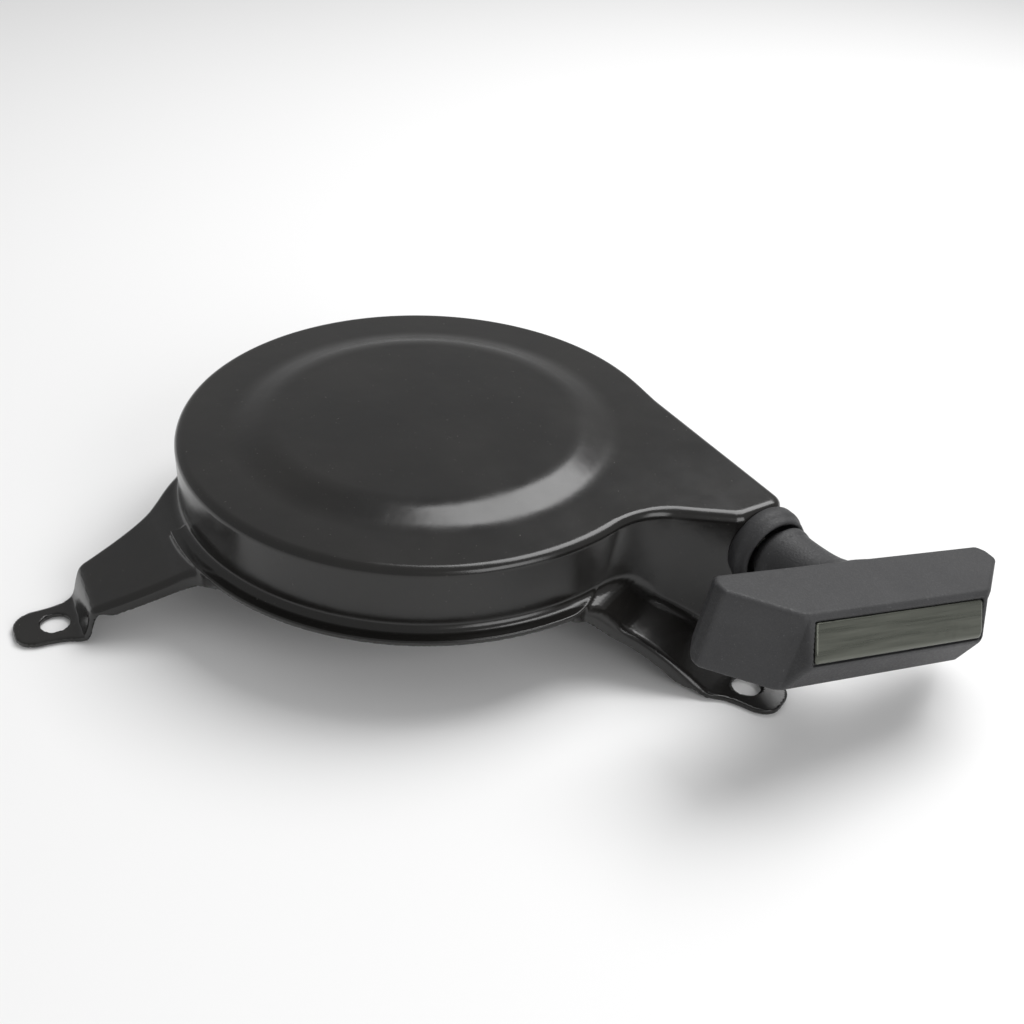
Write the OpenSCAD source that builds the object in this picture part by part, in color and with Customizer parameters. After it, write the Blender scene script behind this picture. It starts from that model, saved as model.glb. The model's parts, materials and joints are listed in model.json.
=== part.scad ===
// Recoil starter for a small engine. Pressed steel housing on three legs, with a rope
// reel, a flat recoil spring, two pawls and a T grip on the rope.
// Origin: centre of the mounting circle, on the plane that the feet bolt to. +Z is up,
// away from the engine, and the rope is pulled along +X.

/* [Housing] */
// Outer radius of the drum wall
drum_r = 72; // [66:1:90]
// Thickness of the pressed sheet
sheet = 1.5; // [1:0.1:2]
// Height of the flat rim face above the mounting plane
rim_z = 43.5; // [42:0.5:56]
// Height that the centre plateau stands above the rim face
plateau_rise = 2.6; // [1.5:0.1:5]
// Radius of the flat plateau
plateau_r = 45.6; // [43:0.2:50]
// Radius where the slope around the plateau starts
plateau_foot_r = 55.2; // [53:0.2:60]
// Outer bend radius along the rim
rim_bend = 2.8; // [2:0.1:4]
// Height of the top face of the front flange
flange_z = 24.5; // [22:0.5:28]
// Width of the front flange outside the drum wall
flange_w = 5; // [3:0.5:9]

/* [Legs and feet] */
// Diameter of the bolt circle
bolt_circle = 222; // [204:1:266]
// Diameter of each foot hole
foot_hole = 8; // [6:0.5:9]
// Angle of the first leg from the pull direction
leg_angle = 24.8; // [20:0.2:30]
// Width of a foot pad
foot_w = 15; // [13:0.5:20]
// Length of a foot pad beyond its hole
foot_end = 11; // [9:0.5:16]
// Half width of a leg at the step above the foot
leg_half_w = 11.5; // [10:0.5:15]
// Height of the step above the foot pad
step_h = 9.8; // [6:0.2:14]

/* [Rope and grip] */
// Diameter of the starter rope
rope_d = 4; // [3:0.25:4.5]
// Radius of the rope's outermost turn
rope_r = 61.5; // [59:0.5:66]
// Height of the rope above the mounting plane
rope_z = 32; // [31.5:0.25:36]
// Number of turns on the reel at rest
rope_turns = 3; // [2:0.25:3]
// Length of the grip bar
grip_len = 94; // [80:1:110]
// Depth of the grip bar along the rope
grip_depth = 25; // [22:0.5:30]
// Thickness of the grip bar
grip_thick = 23; // [20:0.5:26]
// Length of the grip neck between guide and bar
neck_len = 20.5; // [14:0.5:30]
// Diameter of the grip neck
neck_d = 17; // [14:0.5:20]
// Distance that the bar's middle sits beside the neck's axis, along the bar
bar_shift = 3.7; // [0:0.1:5]
// Length of the blank cap set in the grip face
cap_len = 57; // [45:1:64]

/* [Reel] */
// Outer radius of the reel
reel_r = 65; // [63:0.5:68]
// Radius of the rope groove's floor
groove_r = 46; // [45.5:0.25:47]
// Thickness of each reel flange
reel_flange = 1.8; // [1.2:0.1:2.4]
// Radius of the centre post
post_r = 7; // [6:0.25:8]
// Radius of the reel hub
hub_r = 12.5; // [11.5:0.25:13]
// Distance from the centre to each pawl pin
pawl_pin_at = 24; // [22:0.5:26]
// Radius of each pawl pin
pawl_pin_r = 3; // [2.5:0.25:3.5]
// Thickness of each pawl
pawl_t = 4.8; // [4:0.1:5.2]
// Radius of the friction plate
plate_r = 35; // [33.5:0.5:37]

/* [Hidden] */
$fn = 96;
eps = 0.01;
run_gap = 0.06;
side_gap = 0.3;

top_in = rim_z - sheet;
plateau_in = top_in + plateau_rise;
drum_in = drum_r - sheet;
bolt_r = bolt_circle / 2;
leg_angles = [leg_angle, leg_angle + 120, leg_angle + 240];
wall_end = flange_z - sheet;

// Rope outlet on the +Y side of the drum, square to the pull direction.
outlet_x = drum_r + 9;
outlet_near_y = rope_r - 11.5;
outlet_far_y = rope_r + 7.7;
outlet_low = 16;
guide_r = 11.8;
guide_hole_r = 5.6;
guide_out = 6.5;

// Stack of the reel, from the web at the top of the pawls to the screw.
reel_top = rope_z + rope_d / 2 + 0.3 + reel_flange;
reel_low = rope_z - rope_d / 2 - 0.3 - reel_flange;
web_top = reel_low + 2.6;
pawl_top = reel_low - 2.2;
pawl_low = pawl_top - pawl_t;
hub_low = pawl_low - 1.4;
plate_top = hub_low - side_gap;
plate_low = plate_top - 1.5;
post_low = plate_low - 4.2;
washer_t = 1.5;
washer_low = post_low - washer_t;
screw_r = 4;
head_h = 5.3;
hub_top = plateau_in - 2.2;
bush_r = post_r + run_gap + 1.8;

// Recoil spring and its cup, in the recess of the reel.
cup_r = groove_r - 3.5;
cup_t = 0.8;
cup_low = web_top + 0.7;
spring_h = 8;
spring_low = plateau_in - cup_t - spring_h - 0.5;
spring_t = 0.6;
spring_turns = 9;
spring_in = hub_r + 0.7;
spring_out = cup_r - cup_t - 0.6;

// The plate turns by plate_swing while both pawls turn by pawl_swing.
plate_swing = 30;
pawl_swing = 25;
stud_x = 1.5;
stud_y = -11;
stud_r = 2;

// The grip sits in the guide a little askew, as a rope lets it.
grip_x = outlet_x + guide_out + 0.4;
grip_yaw = -4.5;
grip_roll = -10.5;
bar_up = 1.6;
cap_tilt = 28;
neck_turn = atan(bar_shift / neck_len);

steel_black = [0.16, 0.16, 0.17];
plastic_black = [0.24, 0.24, 0.25];
zinc = [0.72, 0.72, 0.70];
spring_steel = [0.42, 0.44, 0.48];

// ---- helpers -------------------------------------------------------------

function pol(r, a) = [r * cos(a), r * sin(a)];
function turn2(p, a) = [p[0] * cos(a) - p[1] * sin(a), p[0] * sin(a) + p[1] * cos(a)];
function unit(v) = v / norm(v);
function dir_at(p, i) =
    unit(p[min(i + 1, len(p) - 1)] - p[max(i - 1, 0)]);
function left_of(v) = [-v[1], v[0]];

// Points of an open line moved t to its left.
function moved(p, t) = [for (i = [0 : len(p) - 1]) p[i] + t * left_of(dir_at(p, i))];
function flip(p) = [for (i = [len(p) - 1 : -1 : 0]) p[i]];

// Outline of a line with the given half width and round ends.
function ribbon(p, h, n = 8) = concat(
    moved(p, h),
    [for (k = [1 : n - 1]) p[len(p) - 1]
        + h * turn2(left_of(dir_at(p, len(p) - 1)), -180 * k / n)],
    flip(moved(p, -h)),
    [for (k = [1 : n - 1]) p[0] + h * turn2(left_of(dir_at(p, 0)), 180 - 180 * k / n)]);

// Tube swept along 3D points, closed at both ends.
module tube(path, r, sides = 8) {
    n = len(path);
    tan3 = [for (i = [0 : n - 1])
        unit(path[min(i + 1, n - 1)] - path[max(i - 1, 0)])];
    rings = [for (i = [0 : n - 1])
        let (t = tan3[i])
        let (u = unit(cross([0, 0, 1], t)))
        let (v = cross(t, u))
        [for (k = [0 : sides - 1])
            path[i] + r * (u * cos(360 * k / sides) + v * sin(360 * k / sides))]];
    pts = [for (ring = rings) for (q = ring) q];
    faces = concat(
        [[for (k = [0 : sides - 1]) k]],
        [for (i = [0 : n - 2]) for (k = [0 : sides - 1])
            let (m = (k + 1) % sides)
            [i * sides + k, (i + 1) * sides + k, (i + 1) * sides + m, i * sides + m]],
        [[for (k = [sides - 1 : -1 : 0]) (n - 1) * sides + k]]);
    polyhedron(points = pts, faces = faces, convexity = 8);
}

module ring(r_out, r_in, z0, z1) {
    translate([0, 0, z0])
    difference() {
        cylinder(r = r_out, h = z1 - z0);
        translate([0, 0, -1]) cylinder(r = r_in, h = z1 - z0 + 2);
    }
}

// ---- housing -------------------------------------------------------------

// Radial section of the drum: plateau, slope, rim face, bend and wall.
function drum_outer(d) = concat(
    [[0, rim_z + plateau_rise - d]],
    [[plateau_r - d * 0.3, rim_z + plateau_rise - d]],
    [[plateau_foot_r - d * 0.3, rim_z - d]],
    [for (a = [90 : -15 : 0])
        [drum_r - rim_bend + (rim_bend - d) * cos(a),
         rim_z - rim_bend + (rim_bend - d) * sin(a)]],
    [[drum_r - d, wall_end]]);

module drum() {
    rotate_extrude($fn = 180)
    polygon(concat(drum_outer(0), flip(drum_outer(sheet))));
}

// Space inside the drum, up to the middle of its wall. What joins the wall is cut by it.
module drum_space() {
    translate([0, 0, -1]) cylinder(r = drum_in + sheet / 2, h = top_in + 1, $fn = 180);
}

// Flange between the two front legs, ending on them.
module flange() {
    translate([0, 0, wall_end])
    linear_extrude(height = sheet)
    difference() {
        intersection() {
            circle(r = drum_r + flange_w, $fn = 180);
            polygon([[0, 0],
                pol(2 * drum_r, leg_angle - 112.3),
                pol(2 * drum_r, leg_angle - 80),
                pol(2 * drum_r, leg_angle - 40),
                pol(2 * drum_r, leg_angle - 7.7)]);
        }
        circle(r = drum_in - 1, $fn = 180);
    }
}

// Top line of the first leg, a plain slope from the drum wall to the foot pad.
slope_line = [
    [drum_r - 14, flange_z],
    [drum_in - 0.5, flange_z],
    [drum_r + 1.5, flange_z - 1.2],
    [drum_r + 5, flange_z - 5.2],
    [drum_r + 8, flange_z - 8.4],
    [bolt_r - 26, flange_z - 10.5],
    [bolt_r - 20, sheet + 9.5],
    [bolt_r - 14.5, sheet + 5.7],
    [bolt_r - 9, sheet + 1.8],
    [bolt_r - 6.2, sheet + 0.4],
    [bolt_r - 4.8, sheet],
    [bolt_r + foot_end + 1, sheet]];

// Top line of the other legs, with a step above the foot pad.
function leg_line(step) = [
    [drum_r - 14, flange_z],
    [drum_in - 0.5, flange_z],
    [drum_r + 1.5, flange_z - 0.6],
    [drum_r + 5, flange_z - 2.6],
    [drum_r + 9, flange_z - 5.2],
    [bolt_r - 22, sheet + step + 4.4],
    [bolt_r - 13, sheet + step + 1.1],
    [bolt_r - 10.4, sheet + step],
    [bolt_r - 9, sheet + step - 1.2],
    [bolt_r - 8.2, sheet + step - 3],
    [bolt_r - 7, sheet + 1.6],
    [bolt_r - 6.2, sheet + 0.5],
    [bolt_r - 4.8, sheet],
    [bolt_r + foot_end + 1, sheet]];

// Half outline of a leg seen from above, as [distance out, half width].
leg_side = concat(
    [[drum_r - 12, leg_half_w + 24],
     [drum_r - 6, leg_half_w + 19],
     [drum_r - 2, leg_half_w + 14.7],
     [drum_r + 1.4, leg_half_w + 10.8],
     [drum_r + 5, leg_half_w + 7.5],
     [drum_r + 9, leg_half_w + 5.3],
     [bolt_r - 22, leg_half_w + 3],
     [bolt_r - 10, leg_half_w],
     [bolt_r - 7.5, leg_half_w - 0.4],
     [bolt_r - 4, foot_w / 2 + 1],
     [bolt_r, foot_w / 2]],
    [for (a = [0 : 15 : 90])
        [bolt_r + foot_end - 5.5 + 5.5 * sin(a), foot_w / 2 - 5.5 + 5.5 * cos(a)]]);

function leg_plan(d) = concat(
    [for (q = leg_side) [q[0] - (q[0] > bolt_r ? d : 0), q[1] - d]],
    flip([for (q = leg_side) [q[0] - (q[0] > bolt_r ? d : 0), -q[1] + d]]));

// Sheet that follows the leg line, deep millimetres thick.
module leg_strip(line, deep) {
    rotate([90, 0, 0])
    linear_extrude(height = 2 * leg_half_w + 60, center = true)
    polygon(concat(line, flip(moved(line, -deep))));
}

module leg(line) {
    // Face of the leg
    intersection() {
        leg_strip(line, sheet);
        translate([0, 0, -1]) linear_extrude(height = flange_z + 2) polygon(leg_plan(0));
    }
    // Turned down edges, ending before the foot pad
    intersection() {
        leg_strip(line, sheet + 2.6);
        translate([0, 0, sheet + 1])
        linear_extrude(height = flange_z)
        difference() {
            polygon(leg_plan(0));
            polygon(leg_plan(sheet));
            translate([bolt_r - 9, -50]) square([60, 100]);
        }
    }
}

// Outline of the rope outlet seen from above.
function outlet_plan(d) = [
    [0, 40],
    [0, outlet_far_y + 1.6 - d],
    [14, outlet_far_y + 1.4 - d],
    [outlet_x - 2.5 - d, outlet_far_y - d],
    [outlet_x - 0.7 - d, outlet_far_y - 0.7 - d],
    [outlet_x - d, outlet_far_y - 2.5 - d],
    [outlet_x - d, outlet_near_y + 3 + d],
    [outlet_x - 1 - d, outlet_near_y + 0.6 + d],
    [drum_r + 2 - d * 0.8, outlet_near_y - 8 + d * 0.6],
    [drum_r - 11 - d * 0.8, outlet_near_y - 25 + d * 0.6]];

module outlet() {
    difference() {
        translate([0, 0, outlet_low])
        linear_extrude(height = rim_z - outlet_low) polygon(outlet_plan(0));
        translate([0, 0, outlet_low - 1])
        linear_extrude(height = top_in - outlet_low + 1) polygon(outlet_plan(sheet));
        translate([0, 0, top_in - 1]) cylinder(r = plateau_foot_r + 6, h = 10);
        // Lower edge, which drops from the drum wall's edge to the end wall's
        rotate([90, 0, 0])
        linear_extrude(height = 300, center = true)
        polygon([
            [-5, 0], [-5, wall_end], [drum_r - 14, wall_end],
            [drum_r - 3, outlet_low + 0.5], [drum_r - 3, 0]]);
    }
}

module drum_with_gap() {
    difference() {
        drum();
        // Way from the drum into the outlet
        translate([0, 0, outlet_low - 1])
        linear_extrude(height = top_in - outlet_low + 1)
        intersection() {
            polygon(outlet_plan(sheet));
            difference() {
                circle(r = drum_r + 30);
                circle(r = drum_in - 3);
            }
        }
    }
}

module starter_housing() color(steel_black)
difference() {
    union() {
        drum_with_gap();
        difference() {
            union() {
                flange();
                for (i = [0 : 2])
                    rotate([0, 0, leg_angles[i]]) leg(i == 0 ? slope_line : leg_line(step_h));
                outlet();
            }
            drum_space();
        }
    }
    // Foot holes
    for (a = leg_angles)
        rotate([0, 0, a])
        translate([bolt_r, 0, -1])
        cylinder(d = foot_hole, h = sheet + 2);
    // Seat of the rope guide
    translate([outlet_x - sheet - 1, rope_r, rope_z])
    rotate([0, 90, 0])
    cylinder(r = guide_hole_r, h = sheet + 4);
}

// ---- fixed parts inside --------------------------------------------------

module centre_post() color(zinc)
difference() {
    union() {
        translate([0, 0, post_low]) cylinder(r = post_r, h = plateau_in - post_low);
        translate([0, 0, plateau_in - 1.5]) cylinder(r = hub_r - 1.5, h = 1.5);
    }
    translate([0, 0, post_low - 1]) cylinder(r = screw_r + 0.05, h = 17);
}

module spring_cup() color(spring_steel)
difference() {
    translate([0, 0, cup_low]) cylinder(r = cup_r, h = plateau_in - cup_low);
    translate([0, 0, cup_low - 1])
    cylinder(r = cup_r - cup_t, h = plateau_in - cup_t - cup_low + 1);
    translate([0, 0, plateau_in - 3]) cylinder(r = hub_r + 0.5, h = 5);
}

module recoil_spring() {
    steps = 30;
    line = [for (k = [0 : spring_turns * steps])
        let (t = k / (spring_turns * steps))
        pol(spring_in + (spring_out - spring_in) * t, 200 + t * spring_turns * 360)];
    color(spring_steel)
    translate([0, 0, spring_low])
    linear_extrude(height = spring_h)
    polygon(concat(moved(line, spring_t / 2), flip(moved(line, -spring_t / 2))));
}

// Plastic guide, a flanged bush that the rope runs through.
module rope_guide() color(plastic_black)
translate([outlet_x, rope_r, rope_z])
rotate([0, 90, 0])
rotate_extrude()
polygon([
    [rope_d / 2 + 1.1, -4.6],
    [guide_hole_r - 0.6, -4.6],
    [guide_hole_r + 0.4, -3.4],
    [guide_hole_r + 0.4, -sheet - 1.1],
    [guide_hole_r - 0.05, -sheet - 0.7],
    [guide_hole_r - 0.05, 0.02],
    [guide_r - 0.6, 0.02],
    [guide_r, 0.7],
    [guide_r, 2.8],
    [guide_r - 0.4, 4.2],
    [guide_r - 1.1, 5.4],
    [guide_r - 2.2, guide_out],
    [neck_d / 2 + 0.9, guide_out - 0.3],
    [neck_d / 2 + 0.6, guide_out - 1.4],
    [neck_d / 2 - 2.1, 1.2],
    [rope_d / 2 + 1.1, -1.5]]);

module thrust_washer() color([0.75, 0.55, 0.30])
ring(hub_r - 1.5, post_r + run_gap, hub_top + 0.05, hub_top + 0.65);

module friction_spring() {
    wire = 0.7;
    turns = 3;
    low = washer_low + washer_t + wire + 0.05;
    high = plate_low - wire - 0.05;
    path = [for (k = [0 : turns * 18])
        let (a = k * 20)
        [(post_r + 1.6) * cos(a), (post_r + 1.6) * sin(a),
            low + (high - low) * k / (turns * 18)]];
    color(spring_steel) tube(path, wire);
}

module end_washer() color(zinc)
ring(post_r + 4, screw_r + 0.3, washer_low, post_low);

module centre_screw() color(zinc) {
    translate([0, 0, washer_low - 1]) cylinder(r = screw_r, h = 16);
    difference() {
        translate([0, 0, washer_low - head_h]) cylinder(r = 7.5, h = head_h, $fn = 6);
        translate([0, 0, washer_low - head_h - 1]) cylinder(r = 3.2, h = 1.6);
    }
}

// ---- reel ----------------------------------------------------------------

module rope_reel() color([0.30, 0.31, 0.32])
difference() {
    rotate_extrude($fn = 144)
    polygon([
        [bush_r, hub_low],
        [hub_r, hub_low],
        [hub_r, reel_low],
        [reel_r - 0.8, reel_low],
        [reel_r, reel_low + 0.6],
        [reel_r, reel_low + reel_flange],
        [groove_r, reel_low + reel_flange + 0.2],
        [groove_r, reel_top - reel_flange - 0.2],
        [reel_r, reel_top - reel_flange],
        [reel_r, reel_top - 0.6],
        [reel_r - 0.8, reel_top],
        [cup_r + 1, reel_top],
        [cup_r + 1, web_top],
        [hub_r, web_top],
        [hub_r, hub_top],
        [bush_r, hub_top]]);
    // Seats of the pawl pins
    for (a = [0, 180])
        rotate([0, 0, a])
        translate([pawl_pin_at, 0, reel_low - 1])
        cylinder(r = pawl_pin_r, h = 2.6);
    // Hole in the lower flange that the rope's end passes through
    rotate([0, 0, knot_at])
    translate([winding_end, 0, reel_low - 1])
    cylinder(d = rope_d + 0.2, h = reel_flange + 2);
    // Slot for the inner hook of the spring
    rotate([0, 0, 200])
    translate([hub_r - 1.4, -1, spring_low - 0.5])
    cube([3, 2, spring_h + 1]);
}

module reel_bush() color([0.75, 0.55, 0.30])
ring(bush_r, post_r + run_gap, hub_low, hub_top);

// Spiral of rope, wound from the tangent point down to the groove's floor.
lap = rope_d + 0.1;
knot_at = 90 + 360 * rope_turns;
winding_in = groove_r + rope_d / 2 + 0.15;
lap_in = min(lap, (rope_r - winding_in) / rope_turns);
winding_end = rope_r - lap_in * rope_turns;

module rope_winding() {
    rings = round(26 * rope_turns);
    path = [for (k = [0 : rings])
        let (t = k / rings)
        let (a = 90 + 0.4 + (360 * rope_turns - 0.4) * t)
        [(rope_r - lap_in * rope_turns * t) * cos(a),
            (rope_r - lap_in * rope_turns * t) * sin(a), rope_z]];
    color([0.80, 0.79, 0.74]) tube(path, rope_d / 2);
}

// End of the rope, bent down through the lower flange and knotted under it.
module rope_knot_reel() color([0.80, 0.79, 0.74])
rotate([0, 0, knot_at])
translate([winding_end, 0, 0]) {
    translate([0, 0, reel_low - 3]) cylinder(d = rope_d, h = rope_z - reel_low + 3);
    translate([0, 0, rope_z]) sphere(d = rope_d, $fn = 32);
    translate([0, 0, reel_low - 3.6]) sphere(r = 3.5, $fn = 40);
}

module pawl_pins() color(zinc)
for (a = [0, 180])
    rotate([0, 0, a])
    translate([pawl_pin_at, 0, pawl_low])
    cylinder(r = pawl_pin_r, h = reel_low + 1.6 - pawl_low);

// Torsion spring around a pawl pin, with one leg on the pawl and one on the hub.
module pawl_spring() {
    wire = 0.35;
    rr = pawl_pin_r + 0.8;
    z0 = pawl_top + 0.45;
    z1 = reel_low - 0.45;
    coil = [for (k = [0 : 36])
        let (a = -60 + k * 20)
        [pawl_pin_at + rr * cos(a), rr * sin(a), z0 + (z1 - z0) * k / 36]];
    first = coil[0];
    last = coil[36];
    t0 = unit([sin(-60), -cos(-60), 0]);
    t1 = unit([-sin(-60 + 720), cos(-60 + 720), 0]);
    tube(concat([first + 7 * t0], coil, [last + 6 * t1]), wire);
}

module pawl_spring_a() color(spring_steel) pawl_spring();
module pawl_spring_b() color(spring_steel) rotate([0, 0, 180]) pawl_spring();

// Pawl at rest. It swings out about its pin, which is at [pawl_pin_at, 0].
pawl_outline = [
    [-5.2, 2.4], [-5.6, 0], [-5.2, -2.6], [-3.6, -6.5], [-2.4, -11], [-1.2, -15.5],
    [0.4, -19], [2.2, -20.6], [4.6, -19.4], [4.9, -17.6], [5.2, -13], [5.8, -7],
    [6, -2.5], [5.6, 1.8], [4, 4.4], [1.4, 5.8], [-1.6, 5.6], [-4, 4.2]];

module pawl() {
    translate([pawl_pin_at, 0, 0]) {
        difference() {
            translate([0, 0, pawl_low])
            linear_extrude(height = pawl_t) polygon(pawl_outline);
            translate([0, 0, pawl_low - 1])
            cylinder(r = pawl_pin_r + run_gap, h = pawl_t + 2);
        }
        translate([stud_x, stud_y, plate_low + 0.2])
        cylinder(r = stud_r, h = pawl_low - plate_low + 0.8);
    }
}

module pawl_a() color([0.55, 0.53, 0.50]) pawl();
module pawl_b() color([0.55, 0.53, 0.50]) rotate([0, 0, 180]) pawl();

// Path of a pawl's stud in the friction plate, as the plate lags behind the reel.
function stud_at(t) = turn2(
    [pawl_pin_at, 0] + turn2([stud_x, stud_y], pawl_swing * t), -plate_swing * t);
stud_path = [for (k = [0 : 12]) stud_at(k / 12)];

module friction_plate() color(zinc)
difference() {
    translate([0, 0, plate_low]) cylinder(r = plate_r, h = plate_top - plate_low);
    translate([0, 0, plate_low - 1]) cylinder(r = post_r + run_gap, h = 4);
    for (a = [0, 180])
        rotate([0, 0, a])
        translate([0, 0, plate_low - 1])
        linear_extrude(height = 4) polygon(ribbon(stud_path, stud_r + 0.2));
    // Openings that lighten the plate
    for (a = [70, 250])
        rotate([0, 0, a])
        translate([21, 0, plate_low - 1]) cylinder(r = 5, h = 4);
}

// ---- rope and grip -------------------------------------------------------

// Puts a shape made along +X at the guide into the grip's resting pose.
module grip_pose() {
    translate([grip_x, rope_r, rope_z])
    rotate([0, 0, grip_yaw])
    rotate([grip_roll, 0, 0])
    children();
}

bar_back = neck_len;
bar_front = neck_len + grip_depth;
bar_top = bar_up + grip_thick / 2;
bar_low = bar_up - grip_thick / 2;
half = grip_len / 2;
cap_half = cap_len / 2;
cap_h = 10.2;
cap_z = bar_top - 6.3;
cap_x = bar_front - 1.6;

// Section of the bar across its length, x outwards and z up.
bar_section = [
    [bar_back, bar_low + 4.5],
    [bar_back, bar_top - 2],
    [bar_back + 0.6, bar_top - 0.6],
    [bar_back + 2, bar_top],
    [bar_front - 6.6, bar_top],
    [bar_front - 5.2, bar_top - 0.5],
    [bar_front - 4.6, bar_top - 1.3],
    [bar_front - 0.4, bar_top - 10.2],
    [bar_front, bar_top - 12],
    [bar_front - 0.4, bar_top - 13.6],
    [bar_front - 4, bar_low + 1.2],
    [bar_front - 6, bar_low],
    [bar_back + 4.5, bar_low]];

// Outline of the bar seen from above, with slanted ends.
bar_plan = [
    [bar_back - 1, -half + 3], [bar_back + 1.5, -half + 1], [bar_back + 4, -half],
    [bar_back + 7, -half], [bar_back + 9, -half + 1.4],
    [bar_front - 4.6, -cap_half - 2.5], [bar_front + 1, -cap_half - 1.2],
    [bar_front + 1, cap_half + 1.2], [bar_front - 4.6, cap_half + 2.5],
    [bar_back + 9, half - 1.4], [bar_back + 7, half], [bar_back + 4, half],
    [bar_back + 1.5, half - 1], [bar_back - 1, half - 3]];

module cap_box(grow, deep) {
    translate([cap_x, bar_shift, cap_z])
    rotate([0, -cap_tilt, 0])
    translate([-deep, -cap_half - grow, -cap_h / 2 - grow])
    cube([deep + 3, cap_len + 2 * grow, cap_h + 2 * grow]);
}

module grip_bar() {
    translate([0, bar_shift, 0])
    intersection() {
        rotate([90, 0, 0])
        linear_extrude(height = grip_len + 2, center = true) polygon(bar_section);
        translate([0, 0, bar_low - 1])
        linear_extrude(height = grip_thick + 2) polygon(bar_plan);
    }
}

module grip_neck() {
    rotate([0, 0, neck_turn])
    rotate([0, 90, 0])
    rotate_extrude()
    polygon([
        [0, -3], [neck_d / 2 - 2.6, -3], [neck_d / 2 - 1.2, -1.2], [neck_d / 2, 0.2],
        [neck_d / 2 + 1.2, 0.8], [neck_d / 2 + 1.2, 3], [neck_d / 2 + 0.4, 4],
        [neck_d / 2 + 0.6, bar_back - 6], [neck_d / 2 + 2, bar_back - 1.5],
        [neck_d / 2 + 3, bar_back + 1], [0, bar_back + 1]]);
}

module grip_body() color(plastic_black)
grip_pose()
difference() {
    union() {
        grip_bar();
        grip_neck();
    }
    rotate([0, 0, neck_turn]) {
        // Bore of the rope
        translate([-5, 0, 0]) rotate([0, 90, 0])
        cylinder(d = rope_d + 1, h = bar_back + 12);
        // Room for the washer and the knot
        translate([bar_back + 5, 0, 0]) rotate([0, 90, 0]) cylinder(r = 6, h = 13);
    }
    translate([cap_x, bar_shift + 1.8, cap_z])
    rotate([0, -cap_tilt, 0])
    translate([-14, -6, -3.6]) cube([14, 12, 7.2]);
    // Recess of the cap
    cap_box(0.15, 1.4);
}

module grip_cap() color([0.55, 0.57, 0.53])
grip_pose()
intersection() {
    cap_box(0, 1.4);
    translate([cap_x, bar_shift, cap_z])
    rotate([0, -cap_tilt, 0])
    translate([-3, -cap_half - 1, -cap_h]) cube([3.0 - 0.3, cap_len + 2, 2 * cap_h]);
}

module rope_washer() color(zinc)
grip_pose()
rotate([0, 0, neck_turn])
translate([bar_back + 5, 0, 0])
rotate([0, 90, 0])
difference() {
    cylinder(r = 5.6, h = 1.2);
    translate([0, 0, -1]) cylinder(d = rope_d + 0.4, h = 4);
}

module rope_knot_grip() color([0.80, 0.79, 0.74])
grip_pose()
rotate([0, 0, neck_turn])
translate([bar_back + 10.6, 0, 0])
sphere(r = 4.2, $fn = 40);

// Rope between the reel and the grip, straight through the guide.
module rope_lead() color([0.80, 0.79, 0.74]) {
    translate([0.3, rope_r, rope_z])
    rotate([0, 90, 0])
    cylinder(d = rope_d, h = grip_x - 2);
    grip_pose()
    rotate([0, 0, neck_turn])
    translate([-2.2, 0, 0])
    rotate([0, 90, 0])
    cylinder(d = rope_d, h = bar_back + 8.7);
}

starter_housing();
centre_post();
spring_cup();
recoil_spring();
rope_guide();
thrust_washer();
friction_spring();
end_washer();
centre_screw();
rope_reel();
reel_bush();
rope_winding();
rope_knot_reel();
pawl_pins();
pawl_spring_a();
pawl_spring_b();
pawl_a();
pawl_b();
friction_plate();
rope_lead();
grip_body();
grip_cap();
rope_washer();
rope_knot_grip();
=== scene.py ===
"""Looks of the recoil starter: pressed housing, moulded grip and guide, rope, inner parts."""

import json
import math

import bpy
import numpy as np
from mathutils import Euler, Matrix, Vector


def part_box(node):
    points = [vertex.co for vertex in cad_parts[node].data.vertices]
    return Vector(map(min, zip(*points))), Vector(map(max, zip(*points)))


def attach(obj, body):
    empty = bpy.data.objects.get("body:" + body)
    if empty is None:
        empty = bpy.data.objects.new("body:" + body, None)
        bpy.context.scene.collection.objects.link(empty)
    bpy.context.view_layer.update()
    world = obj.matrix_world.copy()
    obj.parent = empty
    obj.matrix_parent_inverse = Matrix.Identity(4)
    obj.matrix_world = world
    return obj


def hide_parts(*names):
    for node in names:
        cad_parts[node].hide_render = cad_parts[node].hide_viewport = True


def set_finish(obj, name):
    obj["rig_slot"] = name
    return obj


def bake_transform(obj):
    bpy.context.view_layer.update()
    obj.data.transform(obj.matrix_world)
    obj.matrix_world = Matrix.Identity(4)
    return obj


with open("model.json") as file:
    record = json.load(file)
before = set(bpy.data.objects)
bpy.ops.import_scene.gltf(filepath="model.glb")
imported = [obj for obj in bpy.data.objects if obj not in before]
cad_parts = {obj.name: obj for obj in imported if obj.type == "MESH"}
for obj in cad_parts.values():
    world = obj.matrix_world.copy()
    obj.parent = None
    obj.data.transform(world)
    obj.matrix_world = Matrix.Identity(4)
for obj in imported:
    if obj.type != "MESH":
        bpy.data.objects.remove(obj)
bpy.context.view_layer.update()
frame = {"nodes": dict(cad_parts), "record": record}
nodes = frame["nodes"]
MM = 0.001

# ---- sizes from the frame, in millimetres ---------------------------------


def box_mm(node):
    lo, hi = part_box(node)
    return np.array(lo) / MM, np.array(hi) / MM


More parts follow.
